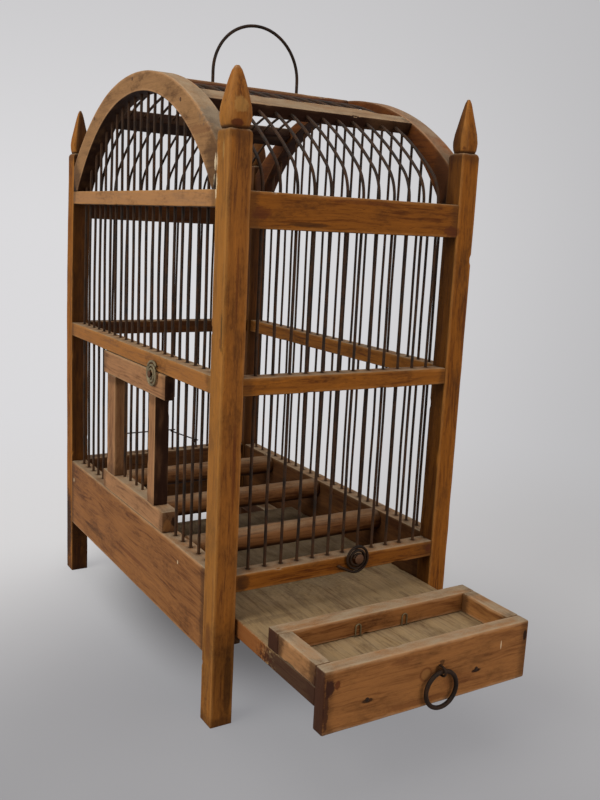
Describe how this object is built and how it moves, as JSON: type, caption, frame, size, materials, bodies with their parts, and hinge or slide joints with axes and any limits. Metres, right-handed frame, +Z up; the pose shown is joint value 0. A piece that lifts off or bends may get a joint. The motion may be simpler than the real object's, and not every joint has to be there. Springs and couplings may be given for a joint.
{
  "type": "canary breeding cage",
  "caption": "Wooden bird cage with a vaulted wire roof, a framed side door turning on a wall wire, wound-wire catches and a litter drawer on runners.",
  "frame": {"origin": "on the ground at the centre of the whole outline, with the drawer standing out as in the picture", "axes": "+X to the right seen from the drawer side, +Y from the drawer side to the back, +Z up; the door is on the -X side"},
  "size_m": [0.2016, 0.4346, 0.4868],
  "materials": {
    "frame_wood": "worn varnish",
    "arch_wood": "worn, dusty",
    "board_wood": "worn varnish",
    "roof_wood": "dusty",
    "perch_wood": "bare, worn",
    "door_wood": "worn",
    "drawer_wood": "worn, satin",
    "floor_wood": "bare, weathered",
    "wall_wire": "rusty, dull",
    "dark_wire": "aged steel",
    "button_wire": "tarnished",
    "nails": "aged steel"
  },
  "bodies": {
    "frame": {"corner_post_front_left": "frame_wood", "corner_post_front_right": "frame_wood", "corner_post_back_left": "frame_wood", "corner_post_back_right": "frame_wood", "base_board_left": "board_wood", "base_board_right": "board_wood", "base_board_back": "board_wood", "front_bottom_rail": "frame_wood", "front_middle_rail": "frame_wood", "front_upper_rail": "frame_wood", "back_middle_rail": "frame_wood", "back_upper_rail": "frame_wood", "left_middle_rail": "frame_wood", "right_middle_rail": "frame_wood", "left_upper_rail": "frame_wood", "right_upper_rail": "frame_wood", "arch_left": "arch_wood", "arch_right": "arch_wood", "roof_batten_front": "roof_wood", "roof_batten_back": "roof_wood", "crown_board": "roof_wood", "hanging_bail": "dark_wire", "roof_nails": "nails", "front_wires": "wall_wire", "back_wires": "wall_wire", "left_wires": "wall_wire", "right_wires": "wall_wire", "door_hinge_wire": "wall_wire", "lacing_wire": "wall_wire", "perch_front": "perch_wood", "perch_middle": "perch_wood", "perch_back": "perch_wood", "drawer_runner_left": "board_wood", "drawer_runner_right": "board_wood", "drawer_latch_nail": "nails"},
    "door": {"door_top_rail": "door_wood", "door_bottom_rail": "door_wood", "door_stile_near": "door_wood", "door_stile_far": "door_wood", "door_wires": "wall_wire", "door_button_nail": "nails"},
    "door_button": {"door_button": "button_wire"},
    "drawer_latch": {"drawer_latch": "dark_wire"},
    "drawer": {"drawer_floor": "floor_wood", "drawer_front": "drawer_wood", "drawer_box_back": "drawer_wood", "drawer_side_left": "drawer_wood", "drawer_side_right": "drawer_wood", "drawer_nails": "nails", "drawer_staples": "dark_wire", "ring_staple": "dark_wire"},
    "pull_ring": {"pull_ring": "dark_wire"}
  },
  "joints": [
    {"name": "door_swing", "type": "hinge", "parent": "frame", "child": "door", "pos_m": [-0.08845, 0.10921, 0.17], "axis": [0, 0, -1], "range_deg": [0, 100]},
    {"name": "door_button_turn", "type": "hinge", "parent": "door", "child": "door_button", "pos_m": [-0.0973, 0.00534, 0.2243], "axis": [-1, 0, 0], "range_deg": [-180, 180]},
    {"name": "drawer_latch_turn", "type": "hinge", "parent": "frame", "child": "drawer_latch", "pos_m": [0.0153, -0.10585, 0.1044], "axis": [0, -1, 0], "range_deg": [-180, 180]},
    {"name": "drawer_slide", "type": "slide", "parent": "frame", "child": "drawer", "axis": [0, -1, 0], "range_m": [-0.106, 0.14]},
    {"name": "pull_ring_swing", "type": "hinge", "parent": "drawer", "child": "pull_ring", "pos_m": [0.0078, -0.2137, 0.0702], "axis": [-1, 0, 0], "range_deg": [0, 160]}
  ]
}
